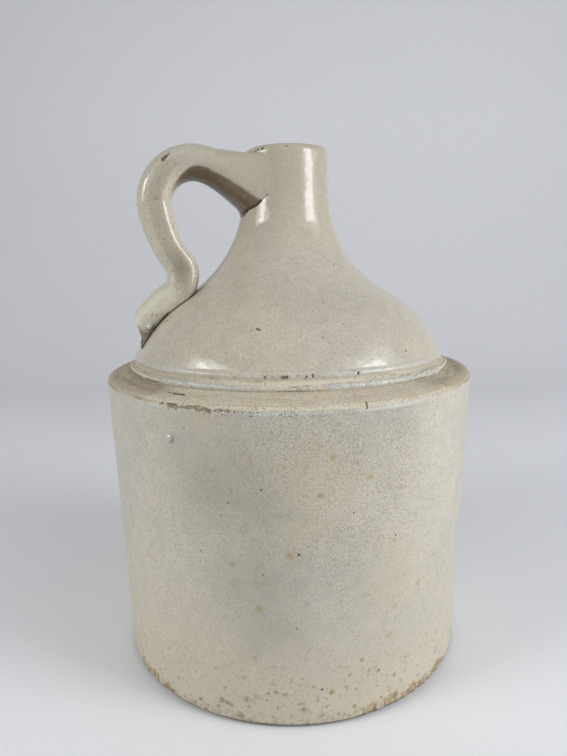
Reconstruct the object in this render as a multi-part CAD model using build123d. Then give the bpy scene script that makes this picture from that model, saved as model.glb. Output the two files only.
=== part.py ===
from build123d import *
import os
from math import asin, atan2, cos, degrees, radians, sin, sqrt, tan

# A stoneware shoulder jug, in millimetres and degrees. The jug's axis is Z, its base stands on Z = 0
# and its handle is at -X. Profiles are drawn as (radius, height).

# Crock body
body_top_radius = 94.4
body_base_radius = 89.7
body_wall = 7.0
floor_thickness = 8.5
base_edge_radius = 3.5
floor_corner_radius = 12.0
ledge_edge_height = 146.8
ledge_width = 11.6
ledge_rise = 3.9
ledge_edge_radius = 3.0
ledge_thickness = 8.5
ledge_corner_radius = 7.0
lip_edge_radius = 2.5

# Domed shoulder, neck and mouth
dome_wall = 7.0
dome_foot_setback = 1.6
dome_foot_lean = 18.0
shoulder_radius = 60.3
flare_radius = 63.1
neck_radius = 21.4
neck_length = 17.8
rim_outer_rounding = 4.0
rim_inner_rounding = 2.5
foot_groove_width = 3.6
foot_groove_depth = 0.9
foot_groove_rise = 2.9

# Slip joints
lute_thickness = 0.8
lute_bead_height = 1.0
lute_bead_bulge = 0.4

# Handle: a strap whose thickness lies in the plane of the handle and whose width lies along Y
root_drop = 15.6
root_depth = 12.0
root_climb = 19.7
root_thickness = 33.4
root_width = 34.5
arch_start_reach = 18.7
arch_thickness = 17.6
arch_width = 26.0
grip_reach = 44.4
grip_drop = 30.4
grip_thickness = 17.3
grip_width = 24.0
elbow_lead = 13.6
elbow_thickness = 14.6
elbow_width = 24.0
tail_start_angle = 56.0
tail_start_rise = 5.0
tail_start_thickness = 13.0
tail_end_angle = 24.0
tail_end_rise = 3.4
tail_end_thickness = 12.0
tail_start_width = 28.0
tail_end_width = 21.0
tail_cut_angle = 29.4
tail_cut_lean = 10.0
strap_roundness = 0.42

# Heights and radii that follow from the sizes above
seat_radius = body_top_radius - ledge_width
seat_height = ledge_edge_height + ledge_rise
dome_bottom = seat_height + lute_thickness
dome_foot_radius = seat_radius - dome_foot_setback
shoulder_centre = (
    dome_foot_radius - shoulder_radius * cos(radians(dome_foot_lean)),
    dome_bottom - shoulder_radius * sin(radians(dome_foot_lean)),
)
flare_run = neck_radius + flare_radius - shoulder_centre[0]
flare_climb = sqrt((flare_radius + shoulder_radius) ** 2 - flare_run ** 2)
flare_centre = (neck_radius + flare_radius, shoulder_centre[1] + flare_climb)
flare_angle = degrees(atan2(flare_climb, flare_run))
rim_height = flare_centre[1] + neck_length


def arc_foot(radius):
    """Angle and radius at which a shoulder arc of this radius meets the dome's flat foot."""
    angle = degrees(asin((dome_bottom - shoulder_centre[1]) / radius))
    return angle, shoulder_centre[0] + radius * cos(radians(angle))


def on_shoulder(angle, rise):
    """Point at this height over the shoulder arc, at an angle up from the arc's centre."""
    reach = shoulder_radius + rise
    return (
        shoulder_centre[0] + reach * cos(radians(angle)),
        shoulder_centre[1] + reach * sin(radians(angle)),
    )


def corner(face, point):
    """The corner of a flat profile that lies at a point."""
    return face.vertices().sort_by_distance(Vector(*point))[0]


def filled(*outline):
    """The flat profile that a closed run of lines and arcs bounds."""
    return make_face([edge for line in outline for edge in line.edges()])


def turned(profile):
    """A profile of (radius, height) turned about the jug's axis."""
    return revolve(Plane.XZ * profile, axis=Axis.Z)


def dome_outline(grow):
    """Half section of the dome as a full form, its skin moved out by grow."""
    neck = neck_radius + grow
    shoulder = shoulder_radius + grow
    foot_angle, foot_radius = arc_foot(shoulder)
    outline = filled(
        Polyline((0, rim_height), (0, dome_bottom), (foot_radius, dome_bottom)),
        CenterArc(shoulder_centre, shoulder, foot_angle, flare_angle - foot_angle),
        CenterArc(flare_centre, flare_radius - grow, 180 + flare_angle, -flare_angle),
        Polyline((neck, flare_centre[1]), (neck, rim_height), (0, rim_height)),
    )
    return fillet(corner(outline, (neck, rim_height)), rim_outer_rounding + grow)


def dome_section():
    """Half section of the dome's shell: the outer form, less its hollow and the groove round its foot."""
    hollow = dome_hollow()
    groove_height = dome_bottom + foot_groove_rise
    groove_angle = degrees(asin((groove_height - shoulder_centre[1]) / shoulder_radius))
    groove_radius = (foot_groove_depth ** 2 + foot_groove_width ** 2 / 4) / (2 * foot_groove_depth)
    groove_centre = on_shoulder(groove_angle, groove_radius - foot_groove_depth)
    groove = Pos(*groove_centre) * Circle(groove_radius)
    section = dome_outline(0) - hollow - groove
    return fillet(corner(section, (neck_radius - dome_wall, rim_height)), rim_inner_rounding)


def dome_hollow():
    """Half section of the space inside the dome, with the straight bore of the mouth."""
    bore = neck_radius - dome_wall
    shoulder = shoulder_radius - dome_wall
    foot_angle, foot_radius = arc_foot(shoulder)
    return filled(
        Polyline((0, rim_height), (0, dome_bottom), (foot_radius, dome_bottom)),
        CenterArc(shoulder_centre, shoulder, foot_angle, flare_angle - foot_angle),
        CenterArc(flare_centre, flare_radius + dome_wall, 180 + flare_angle, -flare_angle),
        Polyline((bore, flare_centre[1]), (bore, rim_height), (0, rim_height)),
    )


def make_crock_body():
    """Floor, drafted wall and sloping shoulder ledge, with the flat seat for the dome."""
    draft = (body_top_radius - body_base_radius) / ledge_edge_height
    lip_radius = arc_foot(shoulder_radius - dome_wall)[1]
    ledge_under = seat_height - ledge_thickness
    wall_top = body_base_radius + draft * ledge_under - body_wall
    wall_foot = body_base_radius + draft * floor_thickness - body_wall
    base_edge = (body_base_radius, 0)
    ledge_edge = (body_top_radius, ledge_edge_height)
    lip_edge = (lip_radius, ledge_under)
    ledge_corner = (wall_top, ledge_under)
    floor_corner = (wall_foot, floor_thickness)
    outline = Polyline(
        (0, 0),
        base_edge,
        ledge_edge,
        (seat_radius, seat_height),
        (lip_radius, seat_height),
        lip_edge,
        ledge_corner,
        floor_corner,
        (0, floor_thickness),
        close=True,
    )
    profile = filled(outline)
    roundings = (
        (base_edge, base_edge_radius),
        (ledge_edge, ledge_edge_radius),
        (lip_edge, lip_edge_radius),
        (ledge_corner, ledge_corner_radius),
        (floor_corner, floor_corner_radius),
    )
    for point, radius in roundings:
        profile = fillet(corner(profile, point), radius)
    return turned(profile)


def make_shoulder_lute(section):
    """Slip bed between the ledge's seat and the dome's foot, with the bead squeezed out round it."""
    lip_radius = arc_foot(shoulder_radius - dome_wall)[1]
    bead_top = dome_bottom + lute_bead_height
    bead_inner = dome_foot_radius - dome_wall / 2
    bead_middle = (
        (seat_radius + dome_foot_radius) / 2 + lute_bead_bulge,
        (seat_height + bead_top) / 2 + lute_bead_bulge,
    )
    bed = filled(
        Polyline((dome_foot_radius, bead_top), (bead_inner, bead_top), (bead_inner, dome_bottom)),
        Polyline((bead_inner, dome_bottom), (lip_radius, dome_bottom), (lip_radius, seat_height)),
        Line((lip_radius, seat_height), (seat_radius, seat_height)),
        ThreePointArc((seat_radius, seat_height), bead_middle, (dome_foot_radius, bead_top)),
    )
    return turned(bed - section)


def handle_path():
    """Centre line of the strap, drawn as (reach, height): a straight root and arcs that run on from it.

    Two arcs lead from the grip to the tail. They meet at the elbow, where both ends fix their place.
    """
    slope = tan(radians(root_climb))
    seat = Vector(neck_radius, rim_height - root_drop)
    grip = Vector(neck_radius + grip_reach, rim_height - grip_drop)
    tail_start = Vector(*on_shoulder(tail_start_angle, tail_start_rise))
    tail_end = Vector(*on_shoulder(tail_end_angle, tail_end_rise))
    tail_heading = Vector(sin(radians(tail_start_angle)), -cos(radians(tail_start_angle)))
    root = Line(seat - Vector(1, slope) * root_depth, seat + Vector(1, slope) * arch_start_reach)
    arch = TangentArc(root @ 1, grip, tangent=root % 1)
    heading = arch % 1
    span = tail_start - grip
    turn = span.dot(tail_heading) + elbow_lead * (1 - heading.dot(tail_heading))
    follow = (span.dot(span) / 2 - elbow_lead * span.dot(heading)) / turn
    grip_share = follow / (elbow_lead + follow)
    before = grip + heading * elbow_lead
    after = tail_start - tail_heading * follow
    elbow = before * grip_share + after * (1 - grip_share)
    lower_grip = TangentArc(grip, elbow, tangent=heading)
    bend = TangentArc(elbow, tail_start, tangent=lower_grip % 1)
    tail = TangentArc(tail_start, tail_end, tangent=tail_heading)
    return [root, arch, lower_grip, bend, tail]


def make_strap():
    """The whole strap before it is cut to the neck and dome, swept through its changing sections."""
    upright = Plane((0, 0, 0), x_dir=(-1, 0, 0), z_dir=(0, 1, 0))
    pieces = [upright * piece for piece in handle_path()]
    section_sizes = (
        (root_width, root_thickness),
        (arch_width, arch_thickness),
        (grip_width, grip_thickness),
        (elbow_width, elbow_thickness),
        (tail_start_width, tail_start_thickness),
        (tail_end_width, tail_end_thickness),
    )
    stations = [(pieces[0] @ 0, pieces[0] % 0)]
    stations += [(piece @ 1, piece % 1) for piece in pieces]
    sections = []
    for (place, heading), (width, thickness) in zip(stations, section_sizes):
        section = RectangleRounded(width, thickness, strap_roundness * thickness)
        sections.append(Plane(place, x_dir=(0, 1, 0), z_dir=heading) * section)
    return sweep(sections, path=Wire(pieces), multisection=True)


def cut_tail(strap):
    """The strap with its tail cut off bluntly, by an upright cut that leans out a little."""
    foot = on_shoulder(tail_cut_angle, 0)
    size = body_top_radius
    cutter = Box(size, size, size, align=(Align.MAX, Align.CENTER, Align.CENTER))
    return strap - Pos(-foot[0], 0, foot[1]) * Rot(Y=-tail_cut_lean) * cutter


def main():
    section = dome_section()
    strap = cut_tail(make_strap())
    bedding = turned(dome_outline(lute_thickness))
    slip = (strap & bedding) - turned(dome_outline(0))
    tail_slip, neck_slip = slip.solids().sort_by(Axis.Z)
    pieces = {
        "crock_body": make_crock_body(),
        "shoulder_dome": turned(section),
        "shoulder_lute": make_shoulder_lute(section),
        "handle": strap - bedding,
        "handle_neck_lute": neck_slip,
        "handle_tail_lute": tail_slip,
    }
    os.makedirs("parts", exist_ok=True)
    for name, piece in pieces.items():
        export_step(piece, f"parts/{name}.step")


if __name__ == "__main__":
    main()
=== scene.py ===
from functools import partial, reduce
from math import acos, asin, atan2, cos, degrees, hypot, pi, radians, sin, sqrt, tan

import bmesh
import bpy
import numpy as np
from mathutils import Matrix, Vector


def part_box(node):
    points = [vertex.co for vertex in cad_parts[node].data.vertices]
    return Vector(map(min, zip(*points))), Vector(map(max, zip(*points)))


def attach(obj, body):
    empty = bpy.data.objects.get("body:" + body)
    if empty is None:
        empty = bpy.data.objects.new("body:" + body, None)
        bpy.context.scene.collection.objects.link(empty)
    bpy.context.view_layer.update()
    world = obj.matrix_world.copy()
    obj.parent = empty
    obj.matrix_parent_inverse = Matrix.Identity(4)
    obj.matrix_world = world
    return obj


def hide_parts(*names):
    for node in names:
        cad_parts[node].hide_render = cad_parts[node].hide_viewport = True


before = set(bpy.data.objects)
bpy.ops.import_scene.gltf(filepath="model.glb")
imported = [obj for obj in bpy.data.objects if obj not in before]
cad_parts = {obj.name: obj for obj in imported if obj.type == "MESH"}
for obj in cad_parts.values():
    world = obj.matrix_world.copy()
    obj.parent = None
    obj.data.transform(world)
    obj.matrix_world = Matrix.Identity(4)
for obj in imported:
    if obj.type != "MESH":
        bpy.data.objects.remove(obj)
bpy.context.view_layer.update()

# Sizes are in millimetres and angles in degrees. Z is up, the handle is at -X, and a turn is counted
# about Z from +X. The front, which the camera looks at, is at a turn of about -103.
MM = 0.001

# Places that the frame gives
body_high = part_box("crock_body")[1] / MM
dome_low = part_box("shoulder_dome")[0] / MM
dome_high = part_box("shoulder_dome")[1] / MM
seat_height = body_high.z
rim_height = dome_high.z
dome_bottom = dome_low.z
dome_foot_radius = dome_high.x

# Crock body
wall_base_radius = 89.7
wall_top_radius = 94.4
wall_thickness = 7.0
floor_thickness = 8.5
base_rounding = 3.5
floor_rounding = 12.0
edge_height = 146.8
edge_rounding = 3.0
seat_radius = 82.8
ledge_thickness = 8.5
ledge_rounding = 7.0
lip_rounding = 2.5
body_turns = 800

# Domed shoulder, neck and mouth
dome_thickness = 7.0
foot_lean = 18.0
shoulder_radius = 60.3
flare_radius = 63.1
neck_radius = 21.4
neck_length = 17.8
rim_outer_rounding = 4.0
rim_inner_rounding = 2.5
groove_way = 3.1
groove_reach = 1.8
groove_depth = 0.9
roll_way = 5.6
roll_reach = 1.9
roll_height = 0.4
dome_turns = 560

# Bead of slip between ledge and dome
bead_reach = 1.25
bead_height = 1.6
bead_turns = 720

# Stretches of the bead that are still glassy: first turn, last turn
bead_glass = ((-150.0, -108.0), (-96.0, -42.0), (14.0, 62.0), (112.0, 152.0))

# Handle
root_drop = 15.6
root_depth = 12.0
root_climb = 19.7
arch_start_reach = 18.7
grip_reach = 44.4
grip_drop = 30.4
elbow_lead = 13.6
tail_start_angle = 56.0
tail_start_rise = 5.0
tail_end_angle = 24.0
tail_end_rise = 3.4
tail_cut_angle = 29.4
tail_cut_lean = 10.0
strap_columns = 120
strap_rows = 190
side_groove_depth = 0.6
pinch_depth = 1.6
pinch_reach = 9.0
elbow_bulge = 2.4
elbow_bulge_reach = 10.0
root_blend_on_strap = 14.0
root_blend_on_neck = 9.0
crown_blend_on_neck = 2.4
keel_blend = 4.0
tail_rounding = 2.4
tail_notch = 6.5
strap_inset = 0.15
sink = 0.35

# Widths, thicknesses, and outer and inner squareness of the strap's six sections
strap_sections = np.array((
    (34.5, 26.0, 24.0, 24.0, 28.0, 21.0),
    (33.4, 17.6, 17.3, 14.6, 13.0, 12.0),
    (2.2, 2.3, 2.7, 2.8, 2.8, 2.6),
    (2.6, 1.6, 2.5, 2.8, 2.8, 2.6),
))

# Worn stretches of the ledge's outer edge: first turn, last turn, depth
edge_wear = (
    (-138.0, -131.0, 0.2), (-131.5, -116.5, 0.4), (-24.0, -17.0, 0.4), (31.0, 41.0, 0.4),
    (92.0, 101.0, 0.4), (144.0, 152.0, 0.4),
)

# Worn stretches of the base edge: first turn, last turn, depth
base_wear = (
    (-162.0, -141.0, 0.5), (-83.0, -78.0, 0.5), (-76.5, -44.0, 0.5), (-2.0, 13.0, 0.5),
    (58.0, 69.0, 0.5), (117.0, 138.0, 0.5),
)

# Worn stretches of the glaze roll round the dome's foot: first turn, last turn, depth
roll_wear = (
    (-110.6, -109.4, 0.5), (-105.0, -102.9, 0.5), (-98.2, -97.4, 0.3), (-96.2, -95.2, 0.45),
    (-82.2, -81.0, 0.45), (-55.2, -54.0, 0.4), (9.0, 11.0, 0.4), (74.0, 76.0, 0.4),
)

# Turns at the middle of the clean front of the ledge and of the pitted stretch of its edge
clean_turn = -99.0
pitted_turn = -117.0

# Marks on the wall, each (turn, height, reach)
ochre_marks = (
    (-103.4, 84.3, 3.0), (-111.7, 59.3, 2.6), (-92.2, 126.3, 2.2), (-82.3, 116.0, 2.0),
    (-95.5, 110.0, 2.4), (-92.2, 17.7, 2.2), (-116.1, 13.4, 2.4), (-113.2, 15.4, 2.2),
)
pin_marks = (
    (-101.0, 84.6, 0.8), (-110.2, 113.1, 0.65), (-118.8, 106.5, 0.55), (-121.5, 91.7, 0.55),
    (-127.7, 82.6, 0.55), (-110.3, 75.3, 0.55), (-101.7, 50.2, 0.6), (-95.0, 19.4, 0.8),
    (-111.7, 15.0, 0.5), (-110.3, 14.2, 0.6), (-74.0, 87.3, 0.6), (-86.8, 101.3, 0.5),
)
# Grey patches: the glaze's own grey, and at the front left also painted shade between the two lamps
grey_and_shade_patches = (
    (-121.0, 114.0, 42.0), (-112.0, 106.0, 30.0), (-112.0, 72.0, 34.0), (-108.0, 50.0, 24.0),
    (60.0, 90.0, 38.0),
)
tan_patches = (
    (-96.0, 118.0, 30.0), (-100.0, 96.0, 18.0), (-124.0, 142.0, 18.0), (-74.0, 70.0, 26.0),
    (140.0, 60.0, 34.0),
)
craze_fields = ((-98.0, 112.0, 58.0), (-80.0, 124.0, 34.0), (-112.0, 12.0, 34.0), (74.0, 96.0, 64.0))
smudge_marks = (
    (-131.2, 7.2, 1.7), (-123.7, 10.6, 1.9), (-122.2, 9.7, 2.0), (-125.1, 6.8, 1.5),
    (-121.0, 9.2, 1.6), (-115.8, 9.9, 1.5), (-118.2, 5.0, 2.2), (-109.8, 17.6, 1.2),
    (-107.7, 18.6, 1.6), (-99.8, 9.9, 2.2), (-92.2, 17.2, 1.3), (-87.0, 24.4, 1.4),
    (-83.4, 30.9, 1.5), (-85.4, 8.0, 1.6), (-78.1, 22.8, 1.5), (-72.2, 17.0, 1.5),
    (-68.2, 23.6, 1.5),
)
faint_marks = (
    (-116.9, 24.4, 2.2), (-113.4, 35.0, 2.4), (-83.1, 62.6, 2.4), (-73.2, 52.9, 2.6),
    (-74.6, 39.2, 3.4), (-73.3, 67.1, 1.8), (-70.1, 66.5, 1.6), (-72.7, 46.1, 1.6),
    (-67.1, 49.9, 1.5), (-122.4, 120.2, 2.6), (-121.9, 112.5, 2.2), (-117.9, 111.4, 1.8),
    (-124.3, 107.6, 2.2), (-118.6, 78.2, 2.0),
)
base_chips = (
    (-80.6, 5.2, 3.0), (-79.0, 5.8, 2.6), (-75.2, 5.2, 2.6), (-73.2, 5.8, 3.6), (-71.4, 6.6, 3.0),
    (-50.4, 6.0, 3.4), (62.0, 5.4, 3.4), (128.0, 6.0, 3.2),
)
rust_marks = ((-116.0, 13.7, 2.2), (-114.6, 13.2, 2.2))

# Slit, dark dashes and crack in the ledge: each end's (turn, radius, height), and the reach
ledge_strokes = (
    ((-138.7, 87.6, 149.0), (-135.8, 87.8, 148.9), 0.4),
    ((-136.2, 87.8, 148.9), (-132.6, 87.9, 148.9), 0.8),
    ((-137.4, 94.0, 145.8), (-136.5, 94.0, 145.9), 0.6),
    ((-135.4, 93.9, 146.1), (-132.3, 93.8, 146.2), 0.55),
    ((-83.7, 92.6, 147.2), (-83.9, 94.0, 145.2), 0.6),
)

# Crescent round a burst bubble in the glaze roll, given in the same way
dome_strokes = (
    ((-83.4, 79.2, 157.6), (-82.1, 79.3, 157.4), 0.6),
    ((-82.1, 79.3, 157.4), (-81.4, 79.5, 156.9), 0.6),
    ((-81.4, 79.4, 156.9), (-81.7, 79.8, 156.0), 0.5),
)

# Thin end of the dark line of painted crease shade under the handle's root, given in the same way
root_stroke = ((-142.5, 22.2, 230.0), (-126.0, 21.7, 234.0), 0.4)

# Marks on the dome, each (turn, height, reach)
dome_marks = (
    (-114.4, 174.8, 0.6), (-113.7, 174.5, 0.9), (-113.0, 174.2, 0.5), (-86.6, 184.2, 0.5),
    (-64.0, 200.3, 0.6), (-59.8, 162.6, 0.6), (-163.1, 175.6, 0.9),
)
dome_stains = (
    (-80.2, 181.6, 1.0), (-78.1, 181.1, 0.9), (-82.0, 175.7, 0.7), (-83.1, 173.0, 0.7),
    (-89.3, 168.8, 0.8), (-84.9, 168.1, 0.8), (-91.0, 170.8, 0.9), (-107.6, 183.8, 0.8),
    (-92.4, 181.2, 0.8), (-88.3, 177.2, 0.8), (-116.3, 174.2, 1.0),
)

# Marks on the rim, each (turn, radius, height, reach)
rim_marks = (
    (-145.5, 21.2, 254.1, 0.8), (-140.6, 21.1, 254.8, 1.0), (-134.3, 21.1, 255.0, 0.9),
    (-130.9, 21.3, 253.8, 0.6), (-101.1, 20.8, 255.8, 1.0),
)

# Marks on the handle's front side, each (x, y, z, reach)
handle_marks = (
    (-35.3, -11.0, 254.3, 1.0), (-41.5, -12.0, 251.4, 0.6), (-70.3, -12.9, 178.0, 0.5),
    (-68.3, -12.9, 177.7, 0.6),
)

# Chip on the handle's arch: each end's (x, y, z), and the reach
arch_chip = ((-61.6, -11.4, 249.6), (-58.7, -11.4, 252.8), 1.0)

# Glassy drops of glaze, each (x, y, z), outward direction, reach and rise
wall_blister = ((-66.9, -65.7, 131.6), (-0.66, -0.65, 0.34), 2.2, 0.9)
tail_drop = ((-72.0, -11.8, 172.6), (-0.50, -0.76, 0.42), 1.7, 0.9)

# Camera, with its focal length in pixels of an image of this height
image_height = 756
focal_pixels = 600.0
sensor_size = 36.0
camera_distance = 319.01
camera_height = 203.56
camera_tilt = 11.236
camera_roll = 0.945
camera_yaw = -0.486
camera_turn = -13.0


def paint(red, green, blue):
    """A colour given as screen values from 0 to 255, as the linear colour that a shader takes."""
    screen = [channel / 255 for channel in (red, green, blue)]
    linear = [c / 12.92 if c <= 0.04045 else ((c + 0.055) / 1.055) ** 2.4 for c in screen]
    return (*linear, 1.0)


# Colours of the glaze, its stains and its marks
putty = paint(199, 192, 175)
ash = paint(190, 186, 172)
blush = paint(202, 191, 173)
dome_putty = paint(199, 190, 171)
dome_ash = paint(194, 186, 170)
dome_blush = paint(201, 189, 169)
neck_brown = paint(172, 161, 137)
sand = paint(207, 195, 169)
# Grey of the glaze, also used as painted shade on the wall's front left
grey_glaze_and_shade = paint(157, 153, 139)
tan_glaze = paint(200, 185, 157)
speckle_brown = paint(132, 114, 90)
craze_brown = paint(128, 114, 92)
pit_black = paint(52, 42, 32)
ochre = paint(166, 150, 104)
fleck_olive = paint(136, 120, 88)
rust = paint(168, 142, 122)
pooled_white = paint(203, 203, 193)
inner_glaze = paint(176, 160, 132)
blister_glass = paint(190, 191, 181)

# Colours of clay, slip and wear
bare_clay = paint(210, 200, 178)
clay_cream = paint(215, 206, 183)
clay_pink = paint(202, 185, 166)
clay_tan = paint(170, 156, 132)
clay_grime = paint(122, 110, 92)
clay_speck = paint(96, 80, 60)
straw = paint(203, 190, 154)
bead_grey = paint(194, 193, 183)
chip_tan = paint(160, 145, 112)
chip_brown = paint(84, 74, 54)
base_tan = paint(190, 165, 124)
base_brown = paint(140, 112, 76)
# Dark grime, also used as painted contact shadow at the base and painted shade under the handle's tail
grime_and_shade = paint(96, 84, 66)

# Colours of the handle and its joints
strap_green = paint(190, 187, 168)
strap_brown = paint(158, 148, 126)
# Moss green of the elbow's pinch: glaze pooled in it, darkened as painted shade in the hollow
strap_moss_and_shade = paint(134, 131, 112)
# Cream of the strap's inner edge, partly painted light where it faces the key lamp
strap_cream_and_light = paint(212, 203, 180)
strap_pale = paint(212, 208, 188)
# Brown of painted shade, under the handle's arch and in its joints
shade_brown = paint(94, 76, 52)
# Near black of painted shade in the handle's crevices, with some dirt
crevice_shade = paint(58, 50, 38)
# Olive of the dished tail end: its darker glaze, darkened further as painted shade on its lower half
pocket_shade_olive = paint(124, 116, 92)

# Colours of the studio
floor_cool = paint(236, 237, 239)
floor_pale = paint(240, 240, 241)
surround_pale = paint(236, 238, 242)
white = paint(255, 255, 255)
cool_white = paint(247, 250, 255)


def ease(value, low, high):
    """Smooth step from 0 at low to 1 at high."""
    share = np.clip((value - low) / (high - low), 0, 1)
    return share * share * (3 - 2 * share)


def swell(value, centre, reach):
    """Smooth rise to 1 at centre that ends at a reach on either side."""
    return 1 - ease(np.abs(value - centre), 0, reach)


def circle(count):
    """Angles that divide a whole turn evenly."""
    return np.arange(count) * 2 * pi / count


def unit(vectors):
    """Directions of vectors, each one long."""
    return vectors / np.linalg.norm(vectors, axis=-1, keepdims=True)


def lumps(turn, seed, slowest, fastest):
    """Unevenness between about -1 and 1 round a circle, from waves with seeded phases."""
    random = np.random.default_rng(seed)
    total = np.zeros_like(turn)
    power = 0.0
    for waves in range(slowest, fastest + 1):
        weight = waves ** -0.6
        total += weight * np.sin(waves * turn + random.uniform(0, 2 * pi))
        power += weight * weight
    return total / (1.6 * sqrt(power))


def off_middle(turn, first, last):
    """How far a turn lies from the middle of a stretch, as a share of half the stretch."""
    apart = np.abs((turn - radians((first + last) / 2) + pi) % (2 * pi) - pi)
    return apart / radians((last - first) / 2)


def nibbled(turn, way, stretches, centre, reach, seed):
    """Depth of the worn stretches at each place, in millimetres, about a centre along the profile."""
    depth = np.zeros(np.broadcast(turn, way).shape)
    bite = lumps(turn, seed, 25, 170)
    sway = lumps(turn, seed + 1, 15, 90)
    along = np.abs(way - centre - 0.4 * reach * sway) / (reach * (0.75 + 0.35 * bite))
    for first, last, deepest in stretches:
        inside = 1 - ease(off_middle(turn, first, last), 0.75, 1.05)
        depth = np.maximum(depth, deepest * inside * ease(bite, -0.9, 0.3) * (1 - ease(along, 0.3, 1)))
    return depth


def run(start, end, step):
    """Points along a straight line, both ends among them."""
    count = max(1, round(hypot(end[0] - start[0], end[1] - start[1]) / step))
    return np.linspace(start, end, count + 1)


def bend(centre, radius, first, last, step):
    """Points along an arc between two angles, both ends among them."""
    count = max(3, round(radians(abs(last - first)) * radius / step))
    angles = np.radians(np.linspace(first, last, count + 1))
    return np.column_stack((centre[0] + radius * np.cos(angles), centre[1] + radius * np.sin(angles)))


def rounded(corners):
    """Points along lines with rounded corners, each (radius, height, rounding, step before it)."""
    places = [np.array(corner[:2]) for corner in corners]
    pen = places[0]
    stretches = []
    for index in range(1, len(corners) - 1):
        place = places[index]
        rounding, step = corners[index][2:]
        back = unit(places[index - 1] - place)
        ahead = unit(places[index + 1] - place)
        half = acos(float(back @ ahead)) / 2
        start = place + back * rounding / tan(half)
        end = place + ahead * rounding / tan(half)
        stretches.append(run(pen, start, step))
        if rounding > 0:
            middle = place + unit(back + ahead) * rounding / sin(half)
            first = atan2(*(start - middle)[::-1])
            sweep = (atan2(*(end - middle)[::-1]) - first + pi) % (2 * pi) - pi
            last = first + sweep
            stretches.append(bend(middle, rounding, degrees(first), degrees(last), rounding / 6))
        pen = end
    stretches.append(run(pen, places[-1], corners[-1][3]))
    return joined(stretches)


def joined(stretches):
    """One profile from stretches that follow each other, with no point twice."""
    shortest_step = 0.05
    points = np.vstack(stretches)
    gaps = np.linalg.norm(np.diff(points, axis=0), axis=1)
    return points[np.concatenate(([True], gaps > shortest_step))]


def ways(profile, origin):
    """Length along a profile at each point, counted from the point nearest to origin."""
    lengths = np.concatenate(([0], np.cumsum(np.linalg.norm(np.diff(profile, axis=0), axis=1))))
    nearest = np.argmin(np.linalg.norm(profile - np.array(origin), axis=1))
    return lengths - lengths[nearest]


def turned(profile, turns, relief):
    """Rings of points for a profile turned about Z, raised along its normal by relief."""
    slopes = unit(np.gradient(profile, axis=0))
    angles = circle(turns)
    radius = profile[:, :1] + slopes[:, 1:] * relief
    height = profile[:, 1:] - slopes[:, :1] * relief
    return np.stack((radius * np.cos(angles), radius * np.sin(angles), height), axis=2)


def make_piece(name, rings, marks, loop):
    """Closed mesh through rings of points in millimetres, with one named mark value for each point.

    The rings close on themselves where loop is true. Otherwise the first and last ring each end in a point.
    """
    rows, columns = rings.shape[:2]
    numbers = np.arange(rows * columns).reshape(rows, columns)
    if loop:
        numbers = np.vstack((numbers, numbers[:1]))
    beside = np.roll(numbers, -1, axis=1)
    squares = np.stack((numbers[:-1], beside[:-1], beside[1:], numbers[1:]), axis=2)
    faces = squares.reshape(-1, 4).tolist()
    points = rings.reshape(-1, 3)
    values = {mark: value.reshape(-1) for mark, value in marks.items()}
    if not loop:
        points = np.vstack((points, rings[0].mean(axis=0), rings[-1].mean(axis=0)))
        values = {mark: np.append(value, (value[0], value[-1])) for mark, value in values.items()}
        first, last = rows * columns, rows * columns + 1
        faces += [(int(b), int(a), first) for a, b in zip(numbers[0], beside[0])]
        faces += [(int(a), int(b), last) for a, b in zip(numbers[-1], beside[-1])]
    mesh = bpy.data.meshes.new(name)
    mesh.from_pydata((points * MM).tolist(), [], faces)
    shape = bmesh.new()
    shape.from_mesh(mesh)
    bmesh.ops.recalc_face_normals(shape, faces=shape.faces[:])
    shape.to_mesh(mesh)
    shape.free()
    for mark, value in values.items():
        mesh.attributes.new(mark, "FLOAT", "POINT").data.foreach_set("value", value.astype(np.float32))
    mesh.polygons.foreach_set("use_smooth", [True] * len(mesh.polygons))
    piece = bpy.data.objects.new(name, mesh)
    bpy.context.scene.collection.objects.link(piece)
    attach(piece, "root")
    return piece


# Curves of the dome that several pieces share
shoulder_centre = (
    dome_foot_radius - shoulder_radius * cos(radians(foot_lean)),
    dome_bottom - shoulder_radius * sin(radians(foot_lean)),
)
flare_centre = (neck_radius + flare_radius, rim_height - neck_length)
flare_angle = degrees(atan2(flare_centre[1] - shoulder_centre[1], flare_centre[0] - shoulder_centre[0]))


def foot_angle(radius):
    """Angle at which a shoulder arc of this radius meets the dome's foot."""
    return degrees(asin((dome_bottom - shoulder_centre[1]) / radius))


inner_shoulder_radius = shoulder_radius - dome_thickness
lip_radius = shoulder_centre[0] + inner_shoulder_radius * cos(radians(foot_angle(inner_shoulder_radius)))


def on_shoulder(angle, rise):
    """Reach and height, as one complex number, of a point over the shoulder's arc."""
    reach = shoulder_radius + rise
    return complex(
        shoulder_centre[0] + reach * cos(radians(angle)),
        shoulder_centre[1] + reach * sin(radians(angle)),
    )


def wall_skin(height):
    """Radius of the body's wall at a height."""
    return wall_base_radius + (wall_top_radius - wall_base_radius) * height / edge_height


def dome_skin(height):
    """Radius of the dome at a height, on its shoulder or on its flare."""
    if height < shoulder_centre[1] + shoulder_radius * sin(radians(flare_angle)):
        return shoulder_centre[0] + sqrt(shoulder_radius ** 2 - (height - shoulder_centre[1]) ** 2)
    return flare_centre[0] - sqrt(flare_radius ** 2 - min(height - flare_centre[1], 0) ** 2)


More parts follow.
